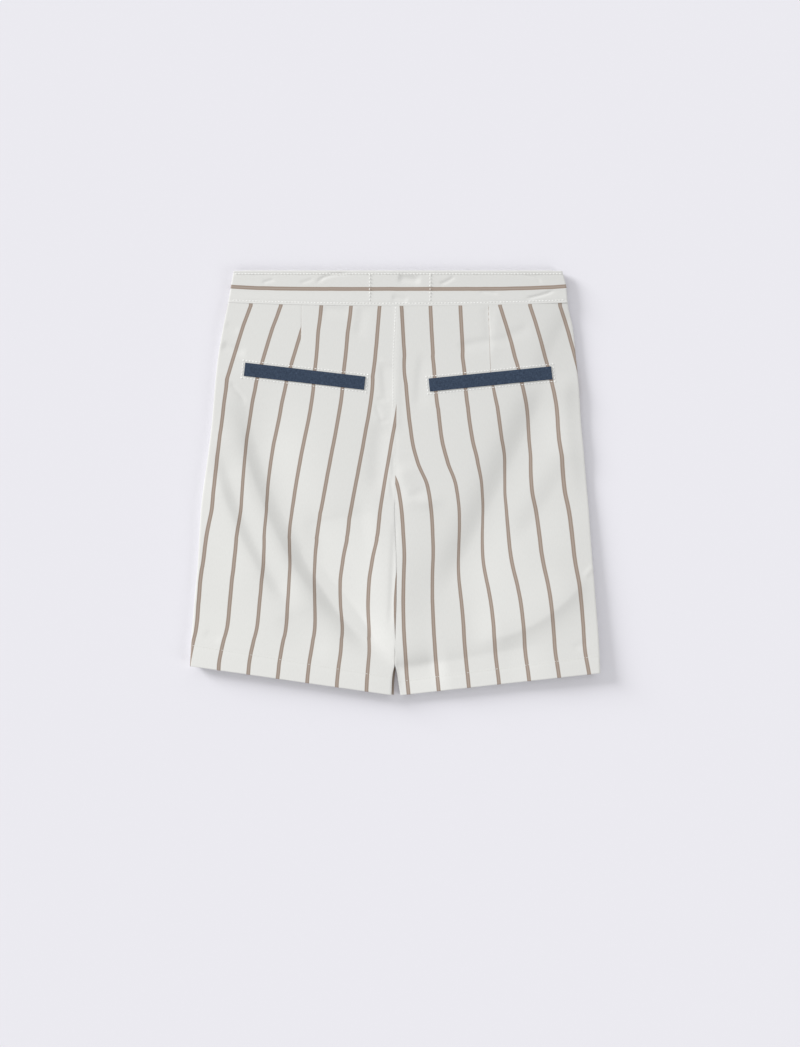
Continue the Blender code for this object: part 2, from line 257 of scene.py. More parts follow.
# The stripes: every STRIPE_PITCH across the cloth, counted outwards from the one that starts
# nearest the middle seam. It leans as the cloth lies, a row for each level.
STRIPE_PITCH = 26.8
STRIPE_WIDE = 3.4
Lean = namedtuple("Lean", "drop left right")
LEANS = (
    Lean(31, -14.4, 6.0),
    Lean(74, -17.9, 8.6),
    Lean(107, -22.2, 10.5),
    Lean(150, -30.1, 15.1),
    Lean(172, -34.0, 20.5),
    Lean(193, -37.5, 29.2),
    Lean(215, -40.8, 32.8),
    Lean(236, -42.9, 34.4),
    Lean(258, -48.6, 35.3),
    Lean(280, -52.4, 34.6),
    Lean(301, -53.5, 34.3),
    Lean(323, -52.8, 34.9),
    Lean(344, -51.9, 36.3),
    Lean(377, -52.8, 39.3),
)
# Away from the middle, more and more from CALM_FROM, a change of lean is spread this far up and
# down
LEAN_SPREAD = 24.0
CALM_FROM, CALM_OVER = 30.0, 80.0
# Share by which the cloth lies fuller across at the hem, and where that begins
HEM_FULLER = {"left": 0.0, "right": 0.02}
FULLER_FROM, FULLER_OVER = 335.0, 35.0
# The waistband's one stripe runs along it and lifts at both ends, by this power of the way out
BAND_STRIPE_DROP = 16.4
BAND_STRIPE_LIFT, BAND_LIFT_POWER = 2.4, 5
FRONT_STRIPES_OUT = 3.1     # of the back's

# Painted shade: the white is painted a little darker towards the waist and the right side, along
# this direction, where the light falls off
PAINTED_SHADE_ALONG = (-0.83, -0.56, 0.0)
PAINTED_SHADE_REACH = 240.0

# Sewing: a stitch varies between two shares of its size, and leans by up to this in radians
STITCH_PITCH = 2.9
STITCH_LONG = 2.0
STITCH_LEAST, STITCH_MOST = (0.85, 0.85, 0.82), (1.1, 1.1, 1.08)
STITCH_LEAN = 0.09
SIZE_SEED, LEAN_SEED = 7, 11
BEAD_SEGMENTS, BEAD_RINGS = 8, 5
THREAD, FINE_THREAD = 0.68, 0.5
THREAD_PROUD = 0.05
# The rows: how far they lie in or out of an edge, how far they sink in, and where they run
BAND_STITCH_IN, BAND_STITCH_SINKS = 2.4, 0.2
BAND_ROW_FROM, BAND_ROW_TO, LOW_ROW_WIDER = -143, 148, 1.015
LABEL_ROWS, LABEL_FROM, LABEL_TO = (-23.1, 31.3), 3.5, 26.0
WELT_STITCH_OUT = 1.9
HEM_STITCH_SINKS = 0.1
HEM_ROW_FROM, HEM_ROW_TO = 0.012, 0.985    # shares of the hem
SEAM_STITCH_OUT, SEAM_STITCH_BELOW, SEAM_STITCH_END = -3.0, 2.0, 121
ROW_POINTS = {"band": 120, "label": 9, "welt": 40, "hem": 90, "seam": 60}

# Grids of the shells, with close rows at the rims and close columns where the dart steps
CURVE_STEPS = 24
ROLL_STEPS = 12
BACK_COLUMNS = 110
BACK_ROWS = 190
BAND_COLUMNS = 260
BAND_ROWS = 36
FRONT_COLUMNS = 40
FRONT_ROWS = 60
WELT_COLUMNS = 80
WELT_ROWS = 12
RIM_STEPS = (0.0, 0.05, 0.17, 0.37, 0.65, 1.1, 1.7, 2.4)
LEG_LONG, LEG_WIDE, HALF_BAND_LONG, BAND_DEEP = 350.0, 180.0, 150.0, 31.0
DART_AT = {"left": 0.44, "right": 0.53}    # share of the leg's width
DART_COLUMNS = np.linspace(-0.03, 0.03, 25)

# Camera
FRAME_HIGH = 1047           # pixels, of a frame 800 wide
PIXEL = 0.9                 # mm in the plane of the garment
CAMERA_X, CAMERA_DROP = 4.3, 226.8
CAMERA_AWAY = 2.6           # metres
SENSOR = 36.0


# ---------------------------------------------------------------- curves and heights

def mix(start, end, share):
    return start + (end - start) * share


def ease(share):
    """From 0 to 1 along a soft S."""
    share = np.clip(share, 0.0, 1.0)
    return share * share * (3 - 2 * share)


def smooth(levels, values, at):
    """Values at any level, on a smooth curve that never overshoots its rows."""
    levels, values, at = (np.asarray(item, float) for item in (levels, values, at))
    steps = np.diff(levels)
    rises = np.diff(values) / steps
    product, total = rises[:-1] * rises[1:], rises[:-1] + rises[1:]
    inner = np.where(product > 0, 2 * product / np.where(product > 0, total, 1.0), 0.0)
    slopes = np.concatenate((rises[:1], inner, rises[-1:]))
    row = np.clip(np.searchsorted(levels, at, side="right") - 1, 0, len(steps) - 1)
    t = (at - levels[row]) / steps[row]
    return (
        (2 * t**3 - 3 * t**2 + 1) * values[row]
        + (t**3 - 2 * t**2 + t) * steps[row] * slopes[row]
        + (3 * t**2 - 2 * t**3) * values[row + 1]
        + (t**3 - t**2) * steps[row] * slopes[row + 1]
    )


def from_rows(rows, column, drop):
    return smooth([row.drop for row in rows], [getattr(row, column) for row in rows], drop)


def seam_drop(x):
    return SEAM_DROP - SEAM_RISE * (x / HALF_WAIST) ** 2


def edges_of(side, drop):
    middle = from_rows(SECTIONS, "middle", drop)
    half_parting = from_rows(SECTIONS, "parting", drop) / 2
    if side == "left":
        return from_rows(SECTIONS, "left_side", drop), middle - half_parting
    return middle + half_parting, from_rows(SECTIONS, "right_side", drop)


def after(drop, level):
    """0 before a level on the way down, 1 after it."""
    return ease((drop - level) / PARTING_BLEND + 0.5)


def hem_drop(side, across):
    hem = HEMS[side]
    if side == "left":
        return mix(hem.side_drop, hem.inseam_drop, across)
    return mix(hem.inseam_drop, hem.side_drop, across)


def hem_depth(side, across):
    hem = HEMS[side]
    return mix(hem.side_depth, hem.inseam_depth, across if side == "left" else 1 - across)


def three_point_curve(row):
    """Points of the curve that starts, passes and ends at a fold's or crease's three points."""
    share = np.linspace(0, 1, CURVE_STEPS + 1)[:, None]
    start, past, end = (
        np.array(place, float)
        for place in ((row.x0, row.drop0), (row.x1, row.drop1), (row.x2, row.drop2))
    )
    bend = 2 * past - (start + end) / 2
    return (1 - share) ** 2 * start + 2 * share * (1 - share) * bend + share**2 * end


def nearest_on(row, x, drop):
    """Distance to a curve, how far along it, and whether on the left of one that runs down."""
    curve = three_point_curve(row)
    starts, runs = curve[:-1], np.diff(curve, axis=0)
    offset = np.stack((x, drop), -1)[..., None, :] - starts
    along = np.clip((offset * runs).sum(-1) / (runs**2).sum(-1), 0, 1)
    distance = np.linalg.norm(offset - runs * along[..., None], axis=-1)
    step = distance.argmin(-1)[..., None]
    turn = runs[:, 0] * offset[..., 1] - runs[:, 1] * offset[..., 0]

    def pick(grid):
        return np.take_along_axis(grid, step, -1)[..., 0]

    return pick(distance), (step[..., 0] + pick(along)) / CURVE_STEPS, pick(turn) > 0


def fold_height(row, x, drop):
    """A bell or a crisp edge across the curve, that fades in and out along it."""
    distance, share, left = nearest_on(row, x, drop)
    half = np.where(left, row.half_left, row.half_right)
    bell = np.exp(-((distance / half) ** 2))
    past_edge = np.sqrt(distance**2 + CRISP_ROUND**2) - CRISP_ROUND
    crisp = np.where(left, row.crisp == "left", row.crisp == "right")
    shape = np.where(crisp, np.exp(-past_edge / half), bell)
    starts = ease(share / (row.begins or row.fades))
    return row.rise * starts * ease((1 - share) / row.fades) * shape


def top_height(x, drop):
    """Height of the back's cloth with its swells and main folds, away from its edges."""
    height = LAID_HEIGHT + HEM_RISE * ease((drop - HEM_RISE_FROM) / HEM_RISE_OVER) + 0 * x
    for swell in SWELLS:
        across = (x - swell.x) / swell.half_across
        along = (drop - swell.drop) / swell.half_along
        height = height + swell.rise * np.exp(-(across**2) - along**2)
    for fold in FOLDS:
        height = height + fold_height(fold, x, drop)
    return height


def dart_x(side, drop):
    dart = DARTS[side]
    return mix(dart.x_top, dart.x_end, (drop - SEAM_DROP) / (dart.end_drop - SEAM_DROP))


def pulled_in(distance, groove):
    return groove.deep * np.exp(-((distance / groove.half_wide) ** 2))


def cloth_height(side, x, drop):
    """Height of the back's cloth with its creases, seams and darts."""
    height = top_height(x, drop)
    for crease in CREASES + NOTCH_FOLDS[side]:
        height = height + fold_height(crease, x, drop)
    dart = DARTS[side]
    stitched = 1 - ease((drop - dart.end_drop) / DART_ENDS_OVER + 0.5)
    height = height - stitched * pulled_in(x - dart_x(side, drop), DART_GROOVE)
    middle = from_rows(SECTIONS, "middle", drop)
    joined = 1 - after(drop, CROTCH_DROP)
    return np.maximum(height - joined * pulled_in(x - middle, MIDDLE_GROOVE), LOWEST)


def cloth_across(side, x, drop):
    """Cloth coordinate across the grain in mm, outwards from the stripe nearest the middle."""
    out = -1 if side == "left" else 1
    spread = np.clip(np.minimum(drop - LEANS[0].drop, LEANS[-1].drop - drop), 0, LEAN_SPREAD)
    calm = sum(from_rows(LEANS, side, drop + move) for move in (-spread, spread)) / 2
    lean = mix(from_rows(LEANS, side, drop), calm, ease((np.abs(x) - CALM_FROM) / CALM_OVER))
    fuller = HEM_FULLER[side] * ease((drop - FULLER_FROM) / FULLER_OVER)
    across = out * (x - lean) * (1 - fuller)
    reach = TAKE_REACH[side]
    loose = 1 - ease((drop - reach.flat_from) / (reach.flat_drop - reach.flat_from))
    for take in TAKES:
        if take.leg == side:
            distance, share, left = nearest_on(take, x, drop)
            beyond = np.where(left == (side == "left"), distance, -distance)
            step = 0.5 * (1 + np.tanh(beyond / (2 * take.half_width)))
            draws = np.exp(-((np.maximum(beyond, 0) / reach.out) ** 2))
            across = across + (
                take.takes * np.sin(np.pi * share) ** take.bunch * step * draws * loose
            )
    dart = DARTS[side]
    left_over = np.clip((dart.fades_drop - drop) / (dart.fades_drop - SEAM_DROP), 0, 1)
    soft = DART_STEP + DART_STEP_GROWS * np.maximum(drop - dart.hides_drop, 0)
    stepped = 0.5 * (1 + np.tanh(out * (x - dart_x(side, drop)) / soft))
    return across + dart.takes * left_over**DART_TAPER * stepped


def together(*grids):
    """One grid of points from a grid for each of their coordinates."""
    return np.stack(np.broadcast_arrays(*grids), -1)


def place(x, drop, z):
    """Points in metres, with the middle of the garment's length at y = 0."""
    middle = (BACK_LENGTH - FRONT_PEEP) / 2
    return together(x * MM, (middle - drop) * MM, z * MM)


# ---------------------------------------------------------------- meshes

def add_object(name, data):
    made = bpy.data.objects.new(name, data)
    bpy.context.scene.collection.objects.link(made)
    return made


def link_mesh(name, points, faces, uvs, material):
    mesh = bpy.data.meshes.new(name)
    mesh.from_pydata(points.tolist(), [], faces)
    layer = mesh.uv_layers.new(name="cloth")
    corners = np.empty(len(mesh.loops), np.int32)
    mesh.loops.foreach_get("vertex_index", corners)
    layer.data.foreach_set("uv", uvs[corners].astype(np.float32).ravel())
    mesh.materials.append(material)
    mesh.shade_smooth()
    return add_object(name, mesh)


def shell(name, outer, under, uv, material):
    """Closed shell between two grids of points; rows run down the garment, columns to +X."""
    rows, columns = outer.shape[:2]
    number = np.arange(rows * columns).reshape(rows, columns)
    quads = np.stack(
        (number[:-1, :-1], number[1:, :-1], number[1:, 1:], number[:-1, 1:]), -1
    ).reshape(-1, 4)
    rim = np.concatenate(
        (number[0, :-1], number[:-1, -1], number[-1, :0:-1], number[:0:-1, 0])
    )
    following = np.roll(rim, -1)
    below = rows * columns
    sides = np.stack((rim, following, following + below, rim + below), -1)
    faces = np.concatenate((quads, quads[:, ::-1] + below, sides)).tolist()
    points = np.concatenate((outer.reshape(-1, 3), under.reshape(-1, 3)))
    uvs = np.concatenate((uv.reshape(-1, 2), uv.reshape(-1, 2))) * MM
    return link_mesh(name, points, faces, uvs, material)


def grid_columns(count, cluster=()):
    """Edge (-1 left, 1 right, 0 between the rolls), turn and share of each column."""
    inner = np.unique(np.concatenate((np.linspace(0, 1, count + 1), cluster)))
    turn = np.linspace(0, 1, ROLL_STEPS, endpoint=False)
    edge = np.concatenate((-np.ones(ROLL_STEPS), np.zeros(len(inner)), np.ones(ROLL_STEPS)))
    turns = np.concatenate((turn, np.ones(len(inner)), turn[::-1]))
    shares = np.concatenate((np.zeros(ROLL_STEPS), inner, np.ones(ROLL_STEPS)))
    return edge, turns, shares


def turned_edge(columns, left, right, rolls):
    """x at which each column leaves the flat of the cloth."""
    edge, _, share = columns
    flat = mix(left + rolls[0], right - rolls[1], share)
    return np.where(edge < 0, left + rolls[0], np.where(edge > 0, right - rolls[1], flat))


def rolled(columns, left, right, rolls, tucks, downs, height, cloth):
    """x and z of the outer and under faces, turned under at both edges."""
    edge, turn, _ = columns
    roll = np.where(edge < 0, rolls[0], rolls[1])
    tuck = np.where(edge < 0, tucks[0], tucks[1])
    down = np.where(edge < 0, downs[0], downs[1]) * np.abs(edge)
    lip = np.maximum(np.minimum(LIP_SHARE * height, height - cloth - LIP_UNDER), LIP_LEAST)
    low = np.clip(2 * turn, 0, 1)
    angle = np.clip(2 * turn - 1, 0, 1) * math.pi / 2
    outer_in = mix(roll * turn, tuck * (1 - low) + roll * (1 - np.cos(angle)), down)
    under_in = outer_in + down * cloth * np.hypot(1, tuck / lip) * (1 - np.sin(angle))
    outer_z = mix(height, lip * low + (height - lip) * np.sin(angle), down)
    under_z = mix(height - cloth, lip * low + (height - cloth - lip) * np.sin(angle), down)
    flat = turned_edge(columns, left, right, rolls)
    outer_x = np.where(edge < 0, left + outer_in, np.where(edge > 0, right - outer_in, flat))
    under_x = np.where(edge < 0, left + under_in, np.where(edge > 0, right - under_in, flat))
    return outer_x, outer_z, under_x, under_z


def rounded(inside, radius, least=RIM_LEAST):
    """1 inside a folded edge, falling to its least at its rim along a half circle."""
    depth = np.clip(1 - inside / radius, 0, 1)
    return np.maximum(np.sqrt(1 - depth**2), least)


def thinned(outer_z, under_z, share):
    """Outer and under face at a share of the thickness between them."""
    centre = (outer_z + under_z) / 2
    return mix(centre, outer_z, share), mix(centre, under_z, share)


def edge_rows(count, length):
    """Shares of a length, with close rows at both ends."""
    fine = np.array(RIM_STEPS) / length
    between = np.linspace(0, 1, count + 1)
    between = between[(between > fine[-1]) & (between < 1 - fine[-1])]
    return np.concatenate((fine, between, 1 - fine[::-1]))


# ---------------------------------------------------------------- pieces of cloth

def back_shell(side, material):
    columns = grid_columns(BACK_COLUMNS, DART_AT[side] + DART_COLUMNS)
    edge, turn, share = columns
    share = share[None, :]
    level = edge_rows(BACK_ROWS, LEG_LONG)[:, None]
    left, right = edges_of(side, mix(SEAM_DROP, hem_drop(side, share), level))
    waist = seam_drop(mix(left, right, share)) + SEAM_GAP / 2
    low = hem_drop(side, share)
    drop = mix(waist, low, level)
    left, right = edges_of(side, drop)
    parted = after(drop, CROTCH_DROP)
    notched = after(drop, NOTCH_DROP)
    pressed = ease((drop - PRESSED_FROM) / PRESSED_OVER) * (1 - notched)
    ones = np.ones_like(parted)
    if side == "left":
        rolls, tucks = (SIDE_ROLL, INSEAM_ROLL), (SIDE_TUCK, INSEAM_TUCK)
        downs = (ones, parted * (1 - pressed))
    else:
        rolls, tucks, downs = (INSEAM_ROLL, SIDE_ROLL), (INSEAM_TUCK, SIDE_TUCK), (notched, ones)
    start_x = turned_edge(columns, left, right, rolls)
    height = cloth_height(side, start_x, drop)
    from_step = drop - low + hem_depth(side, share)
    doubled = ease(from_step / HEM_STEP_OVER + 0.5)
    height = height + HEM_PROUD * doubled - pulled_in(from_step, HEM_GROOVE)
    cloth = mix(THIN_CLOTH, THICK_HEM, doubled)
    outer_x, outer_z, under_x, under_z = rolled(
        columns, left, right, rolls, tucks, downs, height, cloth
    )
    outer_z, under_z = thinned(outer_z, under_z, rounded(low - drop, THICK_HEM / 2))
    roll = np.where(edge < 0, rolls[0], rolls[1])
    tuck = np.where(edge < 0, tucks[0], tucks[1])
    down = np.where(edge < 0, downs[0], downs[1])
    tucked = np.hypot(tuck, LIP_SHARE * height) * np.clip(1 - 2 * turn, 0, 1)
    over_lip = LIP_TAKES * np.clip(2 - 2 * turn, 0, 1)
    run = mix(roll * (1 - turn), tucked + over_lip, down) * np.abs(edge)
    outwards = np.where((edge < 0) == (side == "left"), 1, -1)
    across = cloth_across(side, start_x, drop) + outwards * run
    return shell(
        f"cloth_back_{side}", place(outer_x, drop, outer_z), place(under_x, drop, under_z),
        together(across, drop), material,
    )


def band_stripe(x, drop):
    lift = BAND_STRIPE_LIFT * (np.abs(x) / HALF_WAIST) ** BAND_LIFT_POWER
    return drop - BAND_STRIPE_DROP + lift


def back_band_shell(material):
    columns = grid_columns(BAND_COLUMNS)
    share = columns[2][None, :]
    low = seam_drop(mix(-HALF_WAIST, HALF_WAIST, share)) - SEAM_GAP / 2
    level = edge_rows(BAND_ROWS, BAND_DEEP)[:, None]
    drop = low * level
    left = from_rows(SECTIONS, "left_side", drop)
    right = from_rows(SECTIONS, "right_side", drop)
    ones = np.ones_like(drop)
    rolls = (SIDE_ROLL, SIDE_ROLL)
    start_x = turned_edge(columns, left, right, rolls)
    risen = ease((drop - BAND_LOWER_UNTIL) / BAND_LEVEL_OVER)
    height = BAND_HEIGHT - BAND_TOP_LOWER * (1 - risen)
    height = height - pulled_in(drop - BAND_STITCH_IN, BAND_TOP_GROOVE)
    height = height - pulled_in(low - drop - BAND_STITCH_IN, BAND_LOW_GROOVE)
    for crease in BAND_CREASES:
        height = height + fold_height(crease, start_x, drop)
    outer_x, outer_z, under_x, under_z = rolled(
        columns, left, right, rolls, (SIDE_TUCK, SIDE_TUCK), (ones, ones), height, THICK_BAND
    )
    round_edge = np.minimum(rounded(drop, *BAND_TOP_RIM), rounded(low - drop, *BAND_LOW_RIM))
    outer_z, under_z = thinned(outer_z, under_z, round_edge)
    return shell(
        "cloth_back_waistband", place(outer_x, drop, outer_z), place(under_x, drop, under_z),
        together(band_stripe(outer_x, drop), outer_x), material,
    )


def flat_shell(name, x, drop, thick, inside, uv, material):
    """A layer lying on the surface, with rounded rims; inside is the distance to the rim."""
    round_rim = rounded(inside, thick / 2)
    top = thick / 2 * (1 + round_rim)
    under = thick / 2 * (1 - round_rim)
    return shell(name, place(x, drop, top), place(x, drop, under), uv, material)


def front_shell(side, material):
    share = edge_rows(FRONT_COLUMNS, LEG_WIDE)[None, :]
    level = edge_rows(FRONT_ROWS, LEG_LONG)[:, None]
    left, right = edges_of(side, mix(SEAM_DROP, hem_drop(side, share), level))
    waist = seam_drop(mix(left, right, share)) + SEAM_GAP / 2
    low = hem_drop(side, share)
    drop = mix(waist, low, level)
    left, right = edges_of(side, drop)
    parted = after(drop, CROTCH_DROP)
    doubled = ease((drop - low + FRONT_HEM_DEEP) / FRONT_HEM_DEEP + 0.5)
    cloth = mix(THIN_CLOTH, THICK_HEM, doubled)
    side_inset, inseam_inset = (
        tuck + cloth * math.hypot(1, tuck / (LIP_SHARE * LAID_HEIGHT)) + FRONT_CLEAR
        for tuck in (SIDE_TUCK, INSEAM_TUCK)
    )
    if side == "left":
        peep = PEEP * ease((drop - NOTCH_DROP - PEEP_BELOW) / PEEP_OVER)
        left, right = left + side_inset, right - mix(inseam_inset * parted, -peep, peep / PEEP)
    else:
        left, right = left + inseam_inset * parted, right - side_inset
    x = mix(left, right, share)
    inside = np.minimum(np.minimum(x - left, right - x), np.minimum(drop - waist, low - drop))
    uv = together(cloth_across(side, x, drop) - FRONT_STRIPES_OUT, drop)
    return flat_shell(f"cloth_front_{side}", x, drop, THICK_FRONT, inside, uv, material)


def front_band_shell(side, material):
    share = edge_rows(FRONT_COLUMNS, HALF_BAND_LONG)[None, :]
    level = edge_rows(BAND_ROWS, BAND_DEEP)[:, None]
    left, right = edges_of(side, 0 * level)
    low = seam_drop(mix(left, right, share)) - SEAM_GAP / 2
    drop = mix(-FRONT_PEEP, low, level)
    left, right = edges_of(side, np.maximum(drop, 0))
    slant = math.hypot(1, SIDE_TUCK / (LIP_SHARE * BAND_HEIGHT))
    inset = SIDE_TUCK + THICK_BAND * slant + FRONT_CLEAR
    if side == "left":
        left = left + inset
    else:
        right = right - inset
    x = mix(left, right, share)
    inside = np.minimum(np.minimum(x - left, right - x), np.minimum(drop + FRONT_PEEP, low - drop))
    uv = together(band_stripe(x, drop), x)
    name = f"cloth_front_waistband_{side}"
    return flat_shell(name, x, drop, THICK_FRONT_BAND, inside, uv, material)


def welt_places(welt, along, down):
    """x and drop of places on a welt, from its middle."""
    slope = math.radians(welt.slope)
    x = welt.x + along * math.cos(slope) + down * math.sin(slope)
    return x, welt.drop - along * math.sin(slope) + down * math.cos(slope)


def welt_shell(name, material):
    welt = WELTS[name]
    along = (edge_rows(WELT_COLUMNS, welt.long)[None, :] - 0.5) * welt.long
    down = (edge_rows(WELT_ROWS, welt.wide)[:, None] - 0.5) * welt.wide
    x, drop = welt_places(welt, along, down)
    inside = np.minimum(welt.long / 2 - np.abs(along), welt.wide / 2 - np.abs(down))
    crown = WELT_CROWN * np.cos(math.pi * down / welt.wide)
    base = cloth_height(name.split("_")[1], x, drop) + WELT_RISE
    round_rim = rounded(inside, THICK_WELT / 2)
    outer = base + THICK_WELT / 2 * (1 + round_rim) + crown * round_rim
    under = base + THICK_WELT / 2 * (1 - round_rim)
    uv = together(along, down)
    return shell(f"cloth_{name}", place(x, drop, outer), place(x, drop, under), uv, material)


# ---------------------------------------------------------------- sewing

def add_node(tree, kind, inputs=None, **settings):
    """Adds a node, sets its settings and fills or links its inputs."""
    made = tree.nodes.new(kind)
    for name, value in settings.items():
        setattr(made, name, value)
    for name, value in (inputs or {}).items():
        socket = made.inputs[name]
        if isinstance(value, bpy.types.NodeSocket):
            tree.links.new(value, socket)
        else:
            socket.default_value = value
    return made


def stitch_tree():
    """Geometry Nodes: a row of thread stitches along each spline of a curve."""
    tree = bpy.data.node_groups.new("stitch_row", "GeometryNodeTree")
    face = tree.interface
    face.new_socket("Geometry", in_out="INPUT", socket_type="NodeSocketGeometry")
    for name in ("Pitch", "Long", "Thick"):
        face.new_socket(name, in_out="INPUT", socket_type="NodeSocketFloat")
    face.new_socket("Thread", in_out="INPUT", socket_type="NodeSocketMaterial")
    face.new_socket("Geometry", in_out="OUTPUT", socket_type="NodeSocketGeometry")
    given = add_node(tree, "NodeGroupInput").outputs
    points = add_node(
        tree, "GeometryNodeCurveToPoints", {"Curve": given["Geometry"], "Length": given["Pitch"]},
        mode="LENGTH",
    )
    bead = add_node(
        tree, "GeometryNodeMeshUVSphere",
        {"Segments": BEAD_SEGMENTS, "Rings": BEAD_RINGS, "Radius": 0.5},
    )
    size = add_node(
        tree, "ShaderNodeCombineXYZ",
        {"X": given["Thick"], "Y": given["Thick"], "Z": given["Long"]},
    )
    stitch = add_node(
        tree, "GeometryNodeTransform", {"Geometry": bead.outputs["Mesh"], "Scale": size.outputs[0]}
    )
    varied = add_node(
        tree, "FunctionNodeRandomValue",
        {"Min": STITCH_LEAST, "Max": STITCH_MOST, "Seed": SIZE_SEED},
        data_type="FLOAT_VECTOR",
    )
    lean = add_node(
        tree, "FunctionNodeRandomValue",
        {
            "Min": (-STITCH_LEAN, -STITCH_LEAN, 0.0), "Max": (STITCH_LEAN, STITCH_LEAN, 0.0),
            "Seed": LEAN_SEED,
        },
        data_type="FLOAT_VECTOR",
    )
    turned = add_node(
        tree, "FunctionNodeRotateRotation",
        {"Rotation": points.outputs["Rotation"], "Rotate By": lean.outputs[0]},
        rotation_space="LOCAL",
    )
    sewn = add_node(
        tree, "GeometryNodeInstanceOnPoints",
        {
            "Points": points.outputs["Points"], "Instance": stitch.outputs["Geometry"],
            "Rotation": turned.outputs[0], "Scale": varied.outputs[0],
        },
    )
    real = add_node(
        tree, "GeometryNodeRealizeInstances", {"Geometry": sewn.outputs["Instances"]}
    )
    dressed = add_node(
        tree, "GeometryNodeSetMaterial",
        {"Geometry": real.outputs["Geometry"], "Material": given["Thread"]},
    )
    add_node(tree, "NodeGroupOutput", {"Geometry": dressed.outputs["Geometry"]})
    return tree


def sew(name, rows, thick, material, tree):
    """Stitches along each row of points, as one plain mesh."""
    curve = bpy.data.curves.new(name, "CURVE")
    curve.dimensions = "3D"
    for row in rows:
        spline = curve.splines.new("POLY")
        spline.points.add(len(row) - 1)
        for point, spot in zip(spline.points, row):
            point.co = (*spot, 1.0)
    guide = add_object(f"{name}_guide", curve)
    rows_modifier = guide.modifiers.new("stitch_row", "NODES")
    rows_modifier.node_group = tree
    values = {
        "Pitch": STITCH_PITCH * MM, "Long": STITCH_LONG * MM, "Thick": thick * MM,
        "Thread": material,
    }
    for socket in tree.interface.items_tree:
        if socket.item_type == "SOCKET" and socket.in_out == "INPUT" and socket.name in values:
            rows_modifier[socket.identifier] = values[socket.name]
    ready = guide.evaluated_get(bpy.context.evaluated_depsgraph_get())
    mesh = bpy.data.meshes.new_from_object(ready)
    mesh.name = name
    mesh.shade_smooth()
    guide.modifiers.remove(rows_modifier)
    bpy.data.objects.remove(guide, do_unlink=True)
    return add_object(name, mesh)


def stitch_line(x, drop, height):
    return place(np.asarray(x, float), np.asarray(drop, float), height + THREAD_PROUD).tolist()


def band_stitch_rows():
    x = np.linspace(BAND_ROW_FROM, BAND_ROW_TO, ROW_POINTS["band"])
    low = seam_drop(x) - SEAM_GAP / 2
    sunk = BAND_HEIGHT - BAND_STITCH_SINKS
    top = stitch_line(x, 0 * x + BAND_STITCH_IN, sunk)
    bottom = stitch_line(x * LOW_ROW_WIDER, low - BAND_STITCH_IN, sunk)
    down = np.linspace(LABEL_FROM, LABEL_TO, ROW_POINTS["label"])
    label = [stitch_line(0 * down + x_row, down, BAND_HEIGHT) for x_row in LABEL_ROWS]
    return [top, bottom, *label]


def welt_stitch_rows(name):
    welt = WELTS[name]
    side = name.split("_")[1]
    half_long, half_wide = welt.long / 2 + WELT_STITCH_OUT, welt.wide / 2 + WELT_STITCH_OUT
    corners = (
        (-half_long, -half_wide), (half_long, -half_wide), (half_long, half_wide),
        (-half_long, half_wide), (-half_long, -half_wide),
    )
    rows = []
    for (along0, down0), (along1, down1) in zip(corners, corners[1:]):
        share = np.linspace(0, 1, ROW_POINTS["welt"])
        x, drop = welt_places(welt, mix(along0, along1, share), mix(down0, down1, share))
        rows.append(stitch_line(x, drop, cloth_height(side, x, drop)))
    return rows


def hem_stitch_row(side):
    share = np.linspace(HEM_ROW_FROM, HEM_ROW_TO, ROW_POINTS["hem"])
    drop = hem_drop(side, share) - hem_depth(side, share)
    left, right = edges_of(side, drop)
    x = mix(left, right, share)
    return stitch_line(x, drop, cloth_height(side, x, drop) - HEM_STITCH_SINKS)


def seam_stitch_row():
    drop = np.linspace(SEAM_DROP + SEAM_STITCH_BELOW, SEAM_STITCH_END, ROW_POINTS["seam"])
    x = from_rows(SECTIONS, "middle", drop) + SEAM_STITCH_OUT
    return stitch_line(x, drop, cloth_height("left", x, drop))


# ---------------------------------------------------------------- materials

def linear(hex_colour):
    """sRGB hex to the linear values that shaders take."""
    parts = [int(hex_colour[start:start + 2], 16) / 255 for start in (1, 3, 5)]
    return (
        *(part / 12.92 if part <= 0.04045 else ((part + 0.055) / 1.055) ** 2.4 for part in parts),
        1.0,
    )


def cells(size):
    """Texture scale whose cells are size mm wide."""
    return 1 / (size * MM)


def new_material(name):
    material = bpy.data.materials.new(name)
    material.use_nodes = True
    tree = material.node_tree
    return material, tree, tree.nodes["Principled BSDF"]


# Real sizes of the patterns, or as coarse as they need to be to show
STRIPE_EDGE = 0.25          # half of the blur where the yarns change colour
STRIPE_WANDER, WANDER_OVER = 0.5, 17
MIDDLE_YARNS, MIDDLE_CLEAR = 0.9, 0.35     # half width, and that of their full colour
SLUB_WIDE, SLUB_LONG = 0.7, 3.8
TWILL_LINE, TWILL_DEEP = 0.85, 0.08
FLECK_WIDE, FLECK_LONG, FLECK_DEEP = 0.67, 2.9, 0.1
THREAD_PLY = 0.33
PAPER_GRAIN = 1.1


